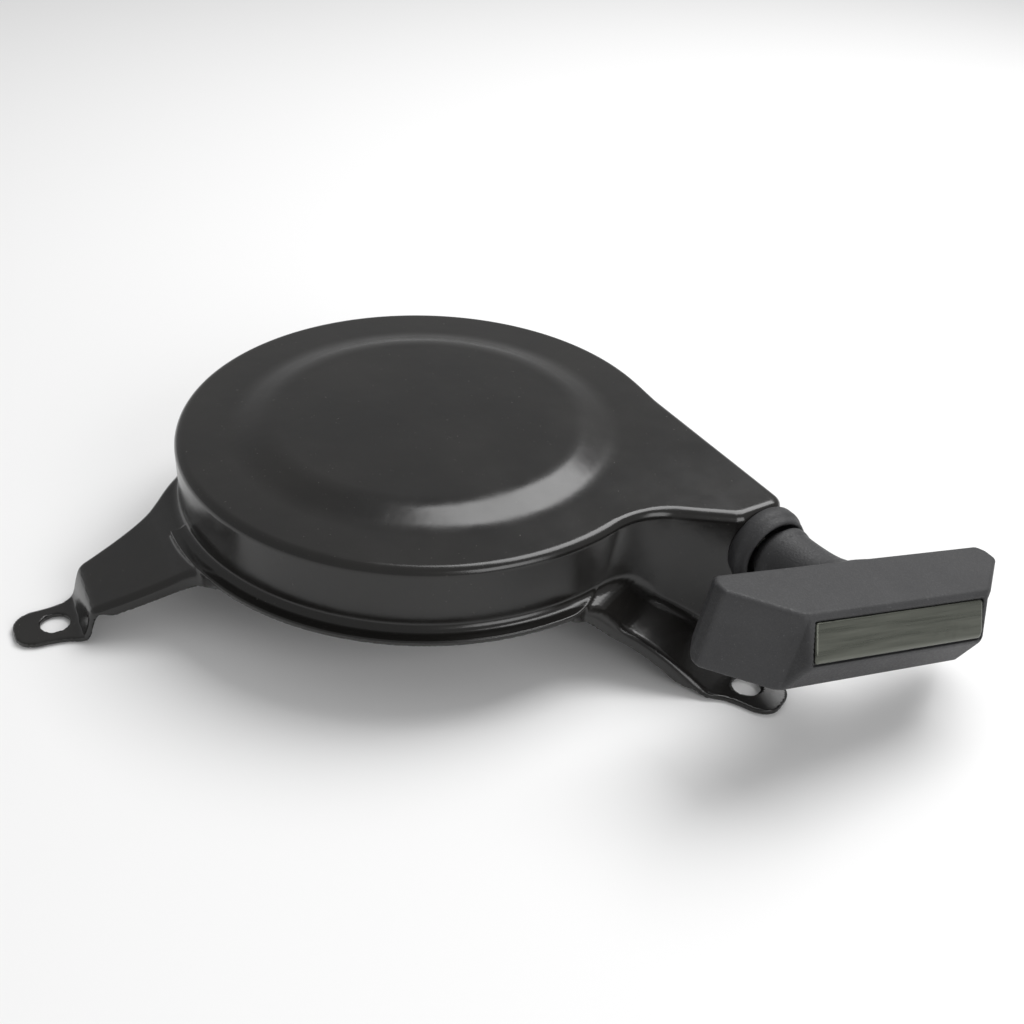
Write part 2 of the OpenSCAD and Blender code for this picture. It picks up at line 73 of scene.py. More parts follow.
house_lo, house_hi = box_mm("starter_housing")
mount = next(m for m in frame["record"]["mounts"] if m["name"] == "feet")
BOLT_R = mount["dims"]["pcd_mm"] / 2
HOLE_R = mount["dims"]["hole_r_mm"]
guide_lo, guide_hi = box_mm("rope_guide")
ROPE_Y = (guide_lo[1] + guide_hi[1]) / 2
ROPE_Z = (guide_lo[2] + guide_hi[2]) / 2
GUIDE_TAIL = 4.6
OUT_X = guide_lo[0] + GUIDE_TAIL
SHEET = 1.5
DRUM_R = 72.0
TOP_Z = house_hi[2]
RISE = 2.6
RIM_Z = TOP_Z - RISE
PLATEAU_R = 45.6
SLOPE_WIDTH = 9.6
FLANGE_Z = 24.5
FLANGE_W = 4.8
GUIDE_HOLE = 5.6
FOOT_END = 11.0
FOOT_HALF = 7.1
TIP_R = 5.5
LEGS = [math.radians(a) for a in (24.8, 144.8, 264.8)]

# ---- signed distance fields ------------------------------------------------


def round_and(a, b, r):
    """Both a and b, with a rounded outer edge of radius r."""
    return np.minimum(np.maximum(a, b), -r) + np.hypot(
        np.maximum(a + r, 0), np.maximum(b + r, 0)
    )


def round_or(a, b, r):
    """a or b, with a fillet of radius r where they meet."""
    return np.maximum(np.minimum(a, b), r) - np.hypot(
        np.maximum(r - a, 0), np.maximum(r - b, 0)
    )


def smooth_max(a, b, k):
    h = np.maximum(k - np.abs(a - b), 0) / k
    return np.maximum(a, b) + h * h * k * 0.25


def ramp(x, a, b):
    t = np.clip((x - a) / (b - a), 0, 1)
    return t * t * (3 - 2 * t)


def poly_sdf(x, y, pts):
    """Distance to a closed outline, negative inside."""
    d = np.full(np.broadcast(x, y).shape, 1e9, x.dtype)
    inside = np.zeros(d.shape, bool)
    n = len(pts)
    for i in range(n):
        ax, ay = pts[i]
        bx, by = pts[i - 1]
        ex, ey = bx - ax, by - ay
        wx, wy = x - ax, y - ay
        t = np.clip((wx * ex + wy * ey) / (ex * ex + ey * ey), 0, 1)
        d = np.minimum(d, (wx - ex * t) ** 2 + (wy - ey * t) ** 2)
        crosses = (ay > y) != (by > y)
        if ay != by:
            inside ^= crosses & (x < ex * (y - ay) / ey + ax)
    return np.where(inside, -1, 1).astype(x.dtype) * np.sqrt(d)


def inset(pts, r):
    """A convex outline moved in by r."""
    p = np.array(pts, float)
    area = np.sum(p[:, 0] * np.roll(p[:, 1], -1) - np.roll(p[:, 0], -1) * p[:, 1])
    if area < 0:
        p = p[::-1]
    out = []
    for i in range(len(p)):
        a, b, c = p[i - 1], p[i], p[(i + 1) % len(p)]
        d1, d2 = (b - a) / np.linalg.norm(b - a), (c - b) / np.linalg.norm(c - b)
        n1, n2 = np.array([-d1[1], d1[0]]), np.array([-d2[1], d2[0]])
        cos2 = 1 + n1 @ n2
        out.append(tuple(b + (n1 + n2) * r / cos2))
    return out


def rounded_line(pts, times):
    """An open line with its corners cut, which makes it smooth."""
    p = [tuple(q) for q in pts]
    for _ in range(times):
        q = [p[0]]
        for a, b in zip(p[:-1], p[1:]):
            q.append((a[0] * 0.75 + b[0] * 0.25, a[1] * 0.75 + b[1] * 0.25))
            q.append((a[0] * 0.25 + b[0] * 0.75, a[1] * 0.25 + b[1] * 0.75))
        q.append(p[-1])
        p = q
    return p


class Outline:
    """Distance to an outline: from a fine table for the grid, exact for the final points."""

    def __init__(self, pts, lo, hi, step=0.25):
        self.pts, self.lo, self.step = pts, lo, step
        self.n = [int((hi[k] - lo[k]) / step) + 2 for k in (0, 1)]
        gx = lo[0] + step * np.arange(self.n[0])[:, None] + np.zeros((1, self.n[1]))
        gy = lo[1] + step * np.arange(self.n[1])[None, :] + np.zeros((self.n[0], 1))
        self.table = poly_sdf(gx, gy, pts)

    def __call__(self, x, y, exact):
        if exact:
            return poly_sdf(x, y, self.pts)
        fx = np.clip((x - self.lo[0]) / self.step, 0, self.n[0] - 1.001)
        fy = np.clip((y - self.lo[1]) / self.step, 0, self.n[1] - 1.001)
        i, j = fx.astype(int), fy.astype(int)
        fx, fy = fx - i, fy - j
        t = self.table
        return (t[i, j] * (1 - fx) + t[i + 1, j] * fx) * (1 - fy) + (
            t[i, j + 1] * (1 - fx) + t[i + 1, j + 1] * fx
        ) * fy


# ---- surface from a field ---------------------------------------------------


def surface_points(f, lo, hi, h):
    """Vertices and quads where the field changes sign on a grid."""
    axes = [np.arange(lo[k], hi[k] + h, h) for k in range(3)]
    values = f(
        axes[0][:, None, None], axes[1][None, :, None], axes[2][None, None, :], False
    ).astype(np.float32)
    inside = values < 0
    count = np.zeros([n - 1 for n in inside.shape], np.uint8)
    corners = [(a, b, c) for a in (0, 1) for b in (0, 1) for c in (0, 1)]
    for a, b, c in corners:
        count += inside[
            a : a + count.shape[0], b : b + count.shape[1], c : c + count.shape[2]
        ]
    cells = np.argwhere((count > 0) & (count < 8))
    index = np.full(count.shape, -1, np.int32)
    index[tuple(cells.T)] = np.arange(len(cells))
    total = np.zeros((len(cells), 3))
    hits = np.zeros(len(cells))
    for p in corners:
        for axis in range(3):
            if p[axis]:
                continue
            q = list(p)
            q[axis] = 1
            va = values[tuple((cells + p).T)]
            vb = values[tuple((cells + q).T)]
            cut = (va < 0) != (vb < 0)
            t = va[cut] / (va[cut] - vb[cut])
            at = np.array(p, float) + np.zeros((cut.sum(), 3))
            at[:, axis] = t
            total[cut] += at
            hits[cut] += 1
    points = np.array([axes[k][0] for k in range(3)]) + h * (
        cells + total / hits[:, None]
    )
    quads = []
    for axis in range(3):
        order = [axis, (axis + 1) % 3, (axis + 2) % 3]
        s = np.transpose(inside, order)
        idx = np.transpose(index, order)
        change = s[:-1, 1:-1, 1:-1] != s[1:, 1:-1, 1:-1]
        i, j, k = np.nonzero(change)
        j, k = j + 1, k + 1
        quad = np.stack(
            [idx[i, j - 1, k - 1], idx[i, j, k - 1], idx[i, j, k], idx[i, j - 1, k]], 1
        )
        solid_first = s[i, j, k]
        quad[~solid_first] = quad[~solid_first][:, ::-1]
        quads.append(quad)
    return points, np.vstack(quads)


def gradient(f, p, e=0.03):
    g = np.zeros_like(p)
    for k in range(3):
        d = np.zeros(3)
        d[k] = e
        a, b = p + d, p - d
        g[:, k] = (
            f(a[:, 0], a[:, 1], a[:, 2], True) - f(b[:, 0], b[:, 1], b[:, 2], True)
        ) / (2 * e)
    return g


def field_mesh(name, f, lo, hi, h, rounds=3):
    """A mesh of the field's surface, in metres, with the field's own normals."""
    p, quads = surface_points(f, lo, hi, h)
    for _ in range(rounds):
        g = gradient(f, p)
        value = f(p[:, 0], p[:, 1], p[:, 2], True)
        size = np.maximum((g * g).sum(1), 0.2)
        step = np.clip(value / size, -h * 0.5, h * 0.5)
        p = p - g * step[:, None]
    normals = gradient(f, p, 0.08)
    normals /= np.maximum(np.linalg.norm(normals, axis=1), 1e-6)[:, None]
    mesh = bpy.data.meshes.new(name)
    mesh.vertices.add(len(p))
    mesh.vertices.foreach_set("co", (p * MM).astype(np.float32).ravel())
    mesh.loops.add(len(quads) * 4)
    mesh.loops.foreach_set("vertex_index", quads.astype(np.int32).ravel())
    mesh.polygons.add(len(quads))
    mesh.polygons.foreach_set("loop_start", np.arange(len(quads), dtype=np.int32) * 4)
    mesh.update(calc_edges=True)
    mesh.validate()
    mesh.polygons.foreach_set("use_smooth", np.ones(len(mesh.polygons), bool))
    if len(mesh.vertices) == len(normals):
        mesh.normals_split_custom_set_from_vertices([tuple(n) for n in normals])
    obj = bpy.data.objects.new(name, mesh)
    bpy.context.scene.collection.objects.link(obj)
    return obj


# ---- housing ------------------------------------------------------------------

leg_top = rounded_line(
    [
        (45, FLANGE_Z),
        (DRUM_R - 3, FLANGE_Z),
        (DRUM_R + 1.5, FLANGE_Z - 0.4),
        (DRUM_R + 5, FLANGE_Z - 2.4),
        (DRUM_R + 9, FLANGE_Z - 5.2),
        (BOLT_R - 22, 15.7),
        (BOLT_R - 13, 12.4),
        (BOLT_R - 9.6, 11.3),
        (BOLT_R - 8.2, 8.4),
        (BOLT_R - 6.8, 3.2),
        (BOLT_R - 5.6, SHEET),
        (BOLT_R - 2, SHEET),
        (BOLT_R + 30, SHEET),
    ],
    2,
)
below = [(BOLT_R + 30, -40), (45, -40)]
leg_profile = Outline(leg_top + below, (40, -8), (130, 30))
slope_top = rounded_line(
    [
        (45, FLANGE_Z),
        (DRUM_R - 3, FLANGE_Z),
        (DRUM_R + 1.5, FLANGE_Z - 0.9),
        (DRUM_R + 5, FLANGE_Z - 4.8),
        (DRUM_R + 8, FLANGE_Z - 8.2),
        (BOLT_R - 26, FLANGE_Z - 10.3),
        (BOLT_R - 20, SHEET + 9.5),
        (BOLT_R - 14.5, SHEET + 5.8),
        (BOLT_R - 9, SHEET + 1.7),
        (BOLT_R - 5.6, SHEET),
        (BOLT_R - 2, SHEET),
        (BOLT_R + 30, SHEET),
    ],
    2,
)
slope_profile = Outline(slope_top + below, (40, -8), (130, 30))
leg_half = [
    (45, 57.0),
    (DRUM_R - 12, 35.5),
    (DRUM_R - 6, 30.5),
    (DRUM_R - 2, 26.2),
    (DRUM_R + 1.4, 22.3),
    (DRUM_R + 5, 19),
    (DRUM_R + 9, 16.8),
    (BOLT_R - 22, 14.5),
    (BOLT_R - 10, 11.5),
    (BOLT_R - 7.5, 11.1),
    (BOLT_R - 4, 8.5),
    (BOLT_R, 7.5),
    (BOLT_R + 6, 7.2),
]
leg_half = rounded_line(leg_half, 2)[1:]
tip = [
    (
        BOLT_R + FOOT_END - TIP_R + TIP_R * math.sin(a),
        FOOT_HALF - TIP_R + TIP_R * math.cos(a),
    )
    for a in np.radians(np.arange(10, 91, 10))
]
leg_half = leg_half + tip
leg_plan = leg_half + [(u, -v) for u, v in leg_half[::-1]]

CORNER_R = 4.5
FAR_Y = ROPE_Y + 7.7
outlet_plan = (
    [(0, 38), (0, FAR_Y + 1.6), (14, FAR_Y + 1.4), (76.5, FAR_Y)]
    + [
        (76.5 + CORNER_R * math.sin(a), FAR_Y - CORNER_R + CORNER_R * math.cos(a))
        for a in np.radians(np.arange(15, 91, 15))
    ]
    + [(81, 54), (80.3, 51.9), (74.2, 43.0), (60, 23)]
)
SLOPE_SIN = RISE / math.hypot(RISE, SLOPE_WIDTH)
SLOPE_COS = SLOPE_WIDTH / math.hypot(RISE, SLOPE_WIDTH)


def housing_field(x, y, z, exact):
    r = np.hypot(x, y)
    # Outline of drum and outlet: the near wall leans out towards its foot
    lean = 0.17 * (RIM_Z - z) * (1 - ramp(y, 50, 60)) * ramp(x, 55, 66)
    outlet = poly_sdf(x + 0 * y, y + 0 * x, outlet_plan) - lean
    soft = 0.4 + 8 * (1 - ramp(y, 44, 54))
    wall = round_or(r - DRUM_R + 0 * z, outlet, soft)
    drum = round_and(wall, z - RIM_Z, 2.6)
    cone = (z - TOP_Z) * SLOPE_COS + (r - PLATEAU_R) * SLOPE_SIN
    plateau = np.maximum(smooth_max(cone, z - TOP_Z, 0.7), r - 60)
    body = -smooth_max(-drum, -plateau, 0.7)
    low = FLANGE_Z - SHEET + 0 * x + 0 * y
    low = low - 6.8 * ramp(x, 56, 71) * (1 - ramp(outlet, 0, 2)) * ramp(y, 20, 30)
    # Front flange
    angle = np.degrees(np.arctan2(y, x))
    side = np.maximum(np.maximum(-95 - angle, angle - 25) * math.radians(1) * r, -9)
    reach = DRUM_R + FLANGE_W - 8 * ramp(angle, 2, 19)
    flange = round_and(np.maximum(r - reach, side), z - FLANGE_Z, 0.5)
    shape = np.broadcast(x, y, z).shape
    skirt = np.broadcast_to(flange, shape).copy()
    low = np.broadcast_to(low, shape).copy()
    holes = np.full(shape, -9.0, skirt.dtype)
    for a in LEGS:
        u = x * math.cos(a) + y * math.sin(a)
        v = -x * math.sin(a) + y * math.cos(a)
        near_leg = (u > 52) & (np.abs(v) < 48)
        near_leg = near_leg & (z < 34)
        at = np.nonzero(np.broadcast_to(near_leg, shape))
        if len(at[0]) == 0:
            continue
        uu = np.broadcast_to(u, shape)[at]
        vv = np.abs(np.broadcast_to(v, shape)[at])
        zz = np.broadcast_to(z, shape)[at]
        profile = slope_profile if a == LEGS[0] else leg_profile
        prof = profile(uu, zz, exact)
        plan = leg_outline(uu, vv, exact)
        edge = 2.0 - 1.6 * ramp(uu, BOLT_R - 9, BOLT_R - 5)
        leg = round_and(plan, prof, edge)
        skirt[at] = round_or(skirt[at], leg, 0.8)
        lip = 2.4 * (1 - ramp(uu, BOLT_R - 16, BOLT_R - 9))
        leg_low = zz - (prof + SHEET + lip)
        near_plan = 1 - ramp(plan, 0.3, 2.5)
        low_here = low[at]
        mixed = low_here + (np.minimum(leg_low, low_here) - low_here) * near_plan
        low[at] = np.where(uu > BOLT_R - 20, leg_low, mixed)
        holes[at] = np.maximum(holes[at], HOLE_R - np.hypot(uu - BOLT_R, vv))
    out = round_or(body, skirt, 2.4)
    sheet = smooth_max(out, -(out + SHEET), 0.3)
    sheet = smooth_max(sheet, low - z, 0.35)
    guide_hole = GUIDE_HOLE - np.hypot(y - ROPE_Y, z - ROPE_Z)
    guide_hole = np.where(x > 74, guide_hole, -9.0)
    return smooth_max(smooth_max(sheet, holes, 0.3), guide_hole + 0 * x, 0.3)


leg_outline = Outline(leg_plan, (40, -2), (130, 60))

GRID = 0.62
housing = field_mesh(
    "housing_shell",
    housing_field,
    house_lo - 1.6,
    house_hi + 1.6,
    GRID,
)
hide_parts("starter_housing")
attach(housing, "housing")
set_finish(housing, "housing_paint")

# ---- grip -----------------------------------------------------------------------

GUIDE_OUT, GRIP_GAP = 6.5, 0.4
GRIP_X = OUT_X + GUIDE_OUT + GRIP_GAP
YAW, ROLL = math.radians(-4.5), math.radians(-10.5)
BACK, FRONT, UP = 20.5, 45.5, 1.6
SHIFT = 3.7
NECK_TURN = math.atan(SHIFT / BACK)
THICK = 23.0
TOPZ, LOWZ = UP + THICK / 2, UP - THICK / 2
HALF, CAP_HALF = 47.0, 28.5
TILT = math.radians(28)
CAP_X, CAP_Z = FRONT - 1.6, TOPZ - 6.3
bar_section = [
    (BACK, LOWZ + 4.5),
    (BACK, TOPZ - 1.5),
    (BACK + 1.5, TOPZ),
    (FRONT - 5.6, TOPZ),
    (FRONT - 4.6, TOPZ - 1.0),
    (FRONT, TOPZ - 11.2),
    (FRONT, TOPZ - 12.6),
    (FRONT - 4.8, LOWZ + 0.6),
    (FRONT - 6, LOWZ),
    (BACK + 4.5, LOWZ),
]
bar_plan = [
    (BACK - 1, -HALF + 3),
    (BACK + 3.4, -HALF),
    (BACK + 7.4, -HALF),
    (FRONT - 4.6, -CAP_HALF - 2.5),
    (FRONT + 1, -CAP_HALF - 1.2),
    (FRONT + 1, CAP_HALF + 1.2),
    (FRONT - 4.6, CAP_HALF + 2.5),
    (BACK + 7.4, HALF),
    (BACK + 3.4, HALF),
    (BACK - 1, HALF - 3),
]
neck_side = rounded_line(
    [
        (-3, 5.9),
        (-1.2, 7.3),
        (0.2, 8.5),
        (0.9, 9.6),
        (3, 9.6),
        (4.2, 8.9),
        (BACK - 6, 9.1),
        (BACK - 1.5, 10.4),
        (BACK + 2, 11.4),
    ],
    2,
)
neck_outline = neck_side + [(BACK + 2, -2), (-3, -2)]
section_in, plan_in = inset(bar_section, 1.3), inset(bar_plan, 2.0)


def grip_field(x, y, z, exact):
    shape = np.broadcast(x, y, z).shape
    x, y, z = (np.broadcast_to(q, shape) for q in (x, y, z))
    section = poly_sdf(x, z, section_in) - 1.3
    plan = poly_sdf(x, y - SHIFT, plan_in) - 2.0
    bar = round_and(section, plan, 1.2)
    along = x * math.cos(NECK_TURN) + y * math.sin(NECK_TURN)
    rho = np.hypot(y * math.cos(NECK_TURN) - x * math.sin(NECK_TURN), z)
    neck = poly_sdf(along, rho, neck_outline)
    solid = round_or(bar, neck, 2.5)
    # Recess around the cap plate
    cx = (x - CAP_X) * math.cos(TILT) + (z - CAP_Z) * math.sin(TILT)
    cz = -(x - CAP_X) * math.sin(TILT) + (z - CAP_Z) * math.cos(TILT)
    recess = np.maximum(
        np.maximum(np.abs(cz) - 5.35, np.abs(y - SHIFT) - CAP_HALF - 0.3), -cx - 1.4
    )
    bore = np.maximum(rho - 2.5, along - BACK - 12)
    room = np.maximum(np.maximum(rho - 6, along - BACK - 18), BACK + 5 - along)
    solid = smooth_max(solid, -recess, 0.25)
    return np.maximum(solid, -np.minimum(bore, room))


def grip_place(obj):
    m = Euler((0, 0, YAW)).to_matrix() @ Euler((ROLL, 0, 0)).to_matrix()
    obj.matrix_world = m.to_4x4()
    obj.location = Vector((GRIP_X, ROPE_Y, ROPE_Z)) * MM
    bpy.context.view_layer.update()
    obj.data.transform(obj.matrix_world)
    obj.matrix_world.identity()
    obj.location = (0, 0, 0)
    obj.rotation_euler = (0, 0, 0)
    return obj


grip = grip_place(
    field_mesh(
        "grip_moulding",
        grip_field,
        np.array([-4.0, SHIFT - 49, LOWZ - 1.5]),
        np.array([FRONT + 1.5, SHIFT + 49, TOPZ + 1.5]),
        0.55,
    )
)
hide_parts("grip_body")
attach(grip, "grip")
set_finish(grip, "black_plastic")

# ---- lathe and tube meshes ---------------------------------------------------------


def new_object(name, verts, faces, smooth=True):
    mesh = bpy.data.meshes.new(name)
    mesh.from_pydata([tuple(v) for v in verts], [], faces)
    mesh.validate()
    mesh.polygons.foreach_set("use_smooth", [smooth] * len(mesh.polygons))
    mesh.update()
    obj = bpy.data.objects.new(name, mesh)
    bpy.context.scene.collection.objects.link(obj)
    return obj


def lathe(name, outline, origin, axis, sides=96):
    """A closed outline of (along, out) in millimetres, turned around an axis."""
    t = np.array(axis, float)
    u = np.cross(t, [0, 0, 1]) if abs(t[2]) < 0.9 else np.array([1.0, 0, 0])
    u /= np.linalg.norm(u)
    v = np.cross(t, u)
    verts, faces = [], []
    n = len(outline)
    for k in range(sides):
        a = 2 * math.pi * k / sides
        d = u * math.cos(a) + v * math.sin(a)
        for s, r in outline:
            verts.append((np.array(origin) + t * s + d * r) * MM)
    for k in range(sides):
        m = (k + 1) % sides
        for i in range(n):
            j = (i + 1) % n
            faces.append((k * n + i, m * n + i, m * n + j, k * n + j))
    return new_object(name, verts, faces)


def tube(name, path, radius, sides=16, relief=None):
    """A round tube along points, closed at both ends, with an optional relief of its surface."""
    p = np.array(path, float)
    tangent = np.gradient(p, axis=0)
    tangent /= np.linalg.norm(tangent, axis=1)[:, None]
    along = np.concatenate([[0], np.cumsum(np.linalg.norm(np.diff(p, axis=0), axis=1))])
    verts, faces = [], []
    for i in range(len(p)):
        t = tangent[i]
        u = np.cross([0, 0, 1], t)
        u /= max(np.linalg.norm(u), 1e-6)
        v = np.cross(t, u)
        for k in range(sides):
            a = 2 * math.pi * k / sides
            r = radius + (relief(along[i], a) if relief else 0)
            verts.append((p[i] + (u * math.cos(a) + v * math.sin(a)) * r) * MM)
    for i in range(len(p) - 1):
        for k in range(sides):
            m = (k + 1) % sides
            faces.append(
                (i * sides + k, i * sides + m, (i + 1) * sides + m, (i + 1) * sides + k)
            )
    faces.append(tuple(range(sides))[::-1])
    last = (len(p) - 1) * sides
    faces.append(tuple(range(last, last + sides)))
    return new_object(name, verts, faces)


guide_outline = [
    (-GUIDE_TAIL, 3.1),
    (-GUIDE_TAIL, 4.9),
    (-4.3, 5.2),
    (-3.4, 5.95),
    (-2.7, 5.95),
    (-2.2, 5.55),
    (0.0, 5.55),
    (0.02, 11.1),
    (0.2, 11.55),
    (0.7, 11.8),
    (2.8, 11.8),
    (3.5, 11.65),
    (4.1, 11.3),
    (4.7, 11.0),
    (5.5, 10.8),
    (6.2, 10.5),
    (6.5, 10.1),
    (6.5, 9.8),
    (6.3, 9.5),
    (5.4, 9.2),
    (3.2, 7.7),
    (1.2, 6.4),
    (0.2, 5.0),
    (-1.5, 3.1),
]
guide = lathe("guide_bush", guide_outline, (OUT_X, ROPE_Y, ROPE_Z), (1, 0, 0))
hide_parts("rope_guide")
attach(guide, "housing")
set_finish(guide, "black_plastic")


def braid(s, a):
    """Relief of a braided rope: two sets of strands that cross."""
    one = math.sin(4 * a + s * 1.5)
    two = math.sin(4 * a - s * 1.5)
    return 0.09 * (max(one, two) - 0.5)


lead_path = [(x, ROPE_Y, ROPE_Z) for x in np.arange(0.4, 85.4, 0.6)]
grip_dir = Vector((math.cos(NECK_TURN), math.sin(NECK_TURN), 0))
grip_dir.rotate(Euler((ROLL, 0, 0)))
grip_dir.rotate(Euler((0, 0, YAW)))
lead_path += [
    (
        GRIP_X + grip_dir.x * s,
        ROPE_Y + grip_dir.y * s,
        ROPE_Z + grip_dir.z * s,
    )
    for s in np.arange(-1.2, BACK + 6.4, 0.6)
]
lead = tube("rope_lead_braid", lead_path, 1.86, 16, braid)
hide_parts("rope_lead")
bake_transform(lead)
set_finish(lead, "rope_nylon")

ROPE_TURNS, STEPS = 3, 450
WOUND_DEPTH = 12.3
turns = []
for k in range(STEPS + 1):
    t = k / STEPS
    a = math.radians(90.4 + (360 * ROPE_TURNS - 0.4) * t)
    r = ROPE_Y - WOUND_DEPTH * t
    turns.append((r * math.cos(a), r * math.sin(a), ROPE_Z))
winding = tube("rope_winding_braid", turns, 1.86, 14, braid)
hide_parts("rope_winding")
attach(winding, "reel")
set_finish(winding, "rope_nylon")

# ---- cap plate ---------------------------------------------------------------------


def plate_field(x, y, z, exact):
    shape = np.broadcast(x, y, z).shape
    x, y, z = (np.broadcast_to(q, shape) for q in (x, y, z))
    flat = np.hypot(
        np.maximum(np.abs(y) - CAP_HALF + 0.9, 0), np.maximum(np.abs(z) - 5.1 + 0.9, 0)
    ) - 0.9
    bevel = 0.35 + 0.9 * ramp(-z, 2.5, 4.5)
    return round_and(round_and(flat, x + 0.3, bevel), -x - 1.4, 0.1)


cap = field_mesh(
    "cap_plate",
    plate_field,
    np.array([-2.2, -CAP_HALF - 1, -6.2]),
    np.array([0.6, CAP_HALF + 1, 6.2]),
    0.5,
)
cap_matrix = Euler((0, -TILT, 0)).to_matrix().to_4x4()
cap_matrix.translation = Vector((CAP_X, SHIFT, CAP_Z)) * MM
cap.data.transform(cap_matrix)
cap = grip_place(cap)
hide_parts("grip_cap")
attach(cap, "grip")
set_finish(cap, "cap_plate")

# ---- materials -----------------------------------------------------------------------


def shader(name, base, rough, metallic=0.0, **sockets):
    mat = bpy.data.materials.new(name)
    mat.use_nodes = True
    tree = mat.node_tree
    bsdf = tree.nodes["Principled BSDF"]
    bsdf.inputs["Base Color"].default_value = (*base, 1)
    bsdf.inputs["Roughness"].default_value = rough
    bsdf.inputs["Metallic"].default_value = metallic
    for key, value in sockets.items():
        bsdf.inputs[key.replace("_", " ")].default_value = value
    coords = tree.nodes.new("ShaderNodeTexCoord")
    return mat, tree, bsdf, coords.outputs["Object"]


def noise(tree, coords, scale, detail=3, rough=0.55, stretch=None, turn=(0, 0, 0)):
    if stretch:
        mapping = tree.nodes.new("ShaderNodeMapping")
        mapping.vector_type = "TEXTURE"
        mapping.inputs["Rotation"].default_value = turn
        mapping.inputs["Scale"].default_value = [1 / k for k in stretch]
        tree.links.new(coords, mapping.inputs["Vector"])
        coords = mapping.outputs["Vector"]
    n = tree.nodes.new("ShaderNodeTexNoise")
    n.inputs["Scale"].default_value = scale
    n.inputs["Detail"].default_value = detail
    n.inputs["Roughness"].default_value = rough
    tree.links.new(coords, n.inputs["Vector"])
    return n.outputs["Fac"]


def map_range(tree, value, a, b, c, d):
    m = tree.nodes.new("ShaderNodeMapRange")
    for key, v in (("From Min", a), ("From Max", b), ("To Min", c), ("To Max", d)):
        m.inputs[key].default_value = v
    tree.links.new(value, m.inputs["Value"])
    return m.outputs["Result"]


def mix_color(tree, factor, one, two):
    m = tree.nodes.new("ShaderNodeMix")
    m.data_type = "RGBA"
    tree.links.new(factor, m.inputs["Factor"])
    for socket, value in ((m.inputs[6], one), (m.inputs[7], two)):
        if isinstance(value, tuple):
            socket.default_value = (*value, 1)
        else:
            tree.links.new(value, socket)
    return m.outputs[2]


def bump(tree, bsdf, height, strength, distance, normal=None):
    b = tree.nodes.new("ShaderNodeBump")
    b.inputs["Strength"].default_value = strength
    b.inputs["Distance"].default_value = distance
    tree.links.new(height, b.inputs["Height"])
    if normal:
        tree.links.new(normal, b.inputs["Normal"])
    tree.links.new(b.outputs["Normal"], bsdf.inputs["Normal"])
    return b.outputs["Normal"]


def paint():
    mat, tree, bsdf, co = shader("black_paint", (0.016, 0.0155, 0.015), 0.3)
    bsdf.inputs["Specular IOR Level"].default_value = 0.5
    clouds = noise(tree, co, 28, 4)
    dust = map_range(tree, noise(tree, co, 900, 2, 0.7), 0.70, 0.78, 0, 1)
    base = mix_color(
        tree,
        map_range(tree, clouds, 0.3, 0.7, 0, 1),
        (0.0065, 0.0062, 0.006),
        (0.011, 0.0102, 0.0092),
    )
    base = mix_color(tree, dust, base, (0.07, 0.068, 0.062))
    tree.links.new(base, bsdf.inputs["Base Color"])
    gloss = map_range(tree, noise(tree, co, 60, 5, 0.6), 0.3, 0.7, 0.17, 0.27)
    tree.links.new(gloss, bsdf.inputs["Roughness"])
    first = bump(tree, bsdf, noise(tree, co, 130, 2), 0.12, 0.0006)
    bump(tree, bsdf, noise(tree, co, 1400, 2), 0.06, 0.0001, first)
    return mat


def plastic():
    mat, tree, bsdf, co = shader("black_plastic", (0.03, 0.03, 0.031), 0.55)
    clouds = noise(tree, co, 60, 4)
    base = mix_color(
        tree,
        map_range(tree, clouds, 0.3, 0.7, 0, 1),
        (0.019, 0.019, 0.0205),
        (0.030, 0.030, 0.0315),
    )
    grains = noise(tree, co, 1500, 3, 0.7)
    base = mix_color(tree, map_range(tree, grains, 0.6, 0.75, 0, 1), base, (0.07, 0.07, 0.072))
    tree.links.new(base, bsdf.inputs["Base Color"])
    tree.links.new(map_range(tree, grains, 0.3, 0.7, 0.45, 0.7), bsdf.inputs["Roughness"])
    bump(tree, bsdf, grains, 0.5, 0.0003)
    return mat


def brushed(
    name, base, dark, rough, stretch, scale=1.0, metallic=1.0, turn=(0, 0, 0)
):
    mat, tree, bsdf, co = shader(name, base, rough, metallic)
    lines = noise(tree, co, 40 * scale, 4, 0.6, stretch, turn)
    tone = mix_color(tree, map_range(tree, lines, 0.3, 0.7, 0, 1), dark, base)
    spots = noise(tree, co, 160, 3)
    tone = mix_color(
        tree, map_range(tree, spots, 0.62, 0.8, 0, 0.6), tone, tuple(c * 0.6 for c in base)
    )
    tree.links.new(tone, bsdf.inputs["Base Color"])
    tree.links.new(
        map_range(tree, lines, 0.3, 0.7, rough - 0.07, rough + 0.1), bsdf.inputs["Roughness"]
    )
    bump(tree, bsdf, lines, 0.15, 0.0002)
    return mat


def nylon():
    mat, tree, bsdf, co = shader("rope_nylon", (0.72, 0.71, 0.66), 0.7)
    bsdf.inputs["Sheen Weight"].default_value = 0.2
    strands = noise(tree, co, 900, 3, 0.6, (0.25, 1, 1))
    base = mix_color(
        tree, map_range(tree, strands, 0.35, 0.65, 0, 1), (0.5, 0.49, 0.44), (0.78, 0.77, 0.72)
    )
    tree.links.new(base, bsdf.inputs["Base Color"])
    bump(tree, bsdf, strands, 0.5, 0.0004)
    return mat


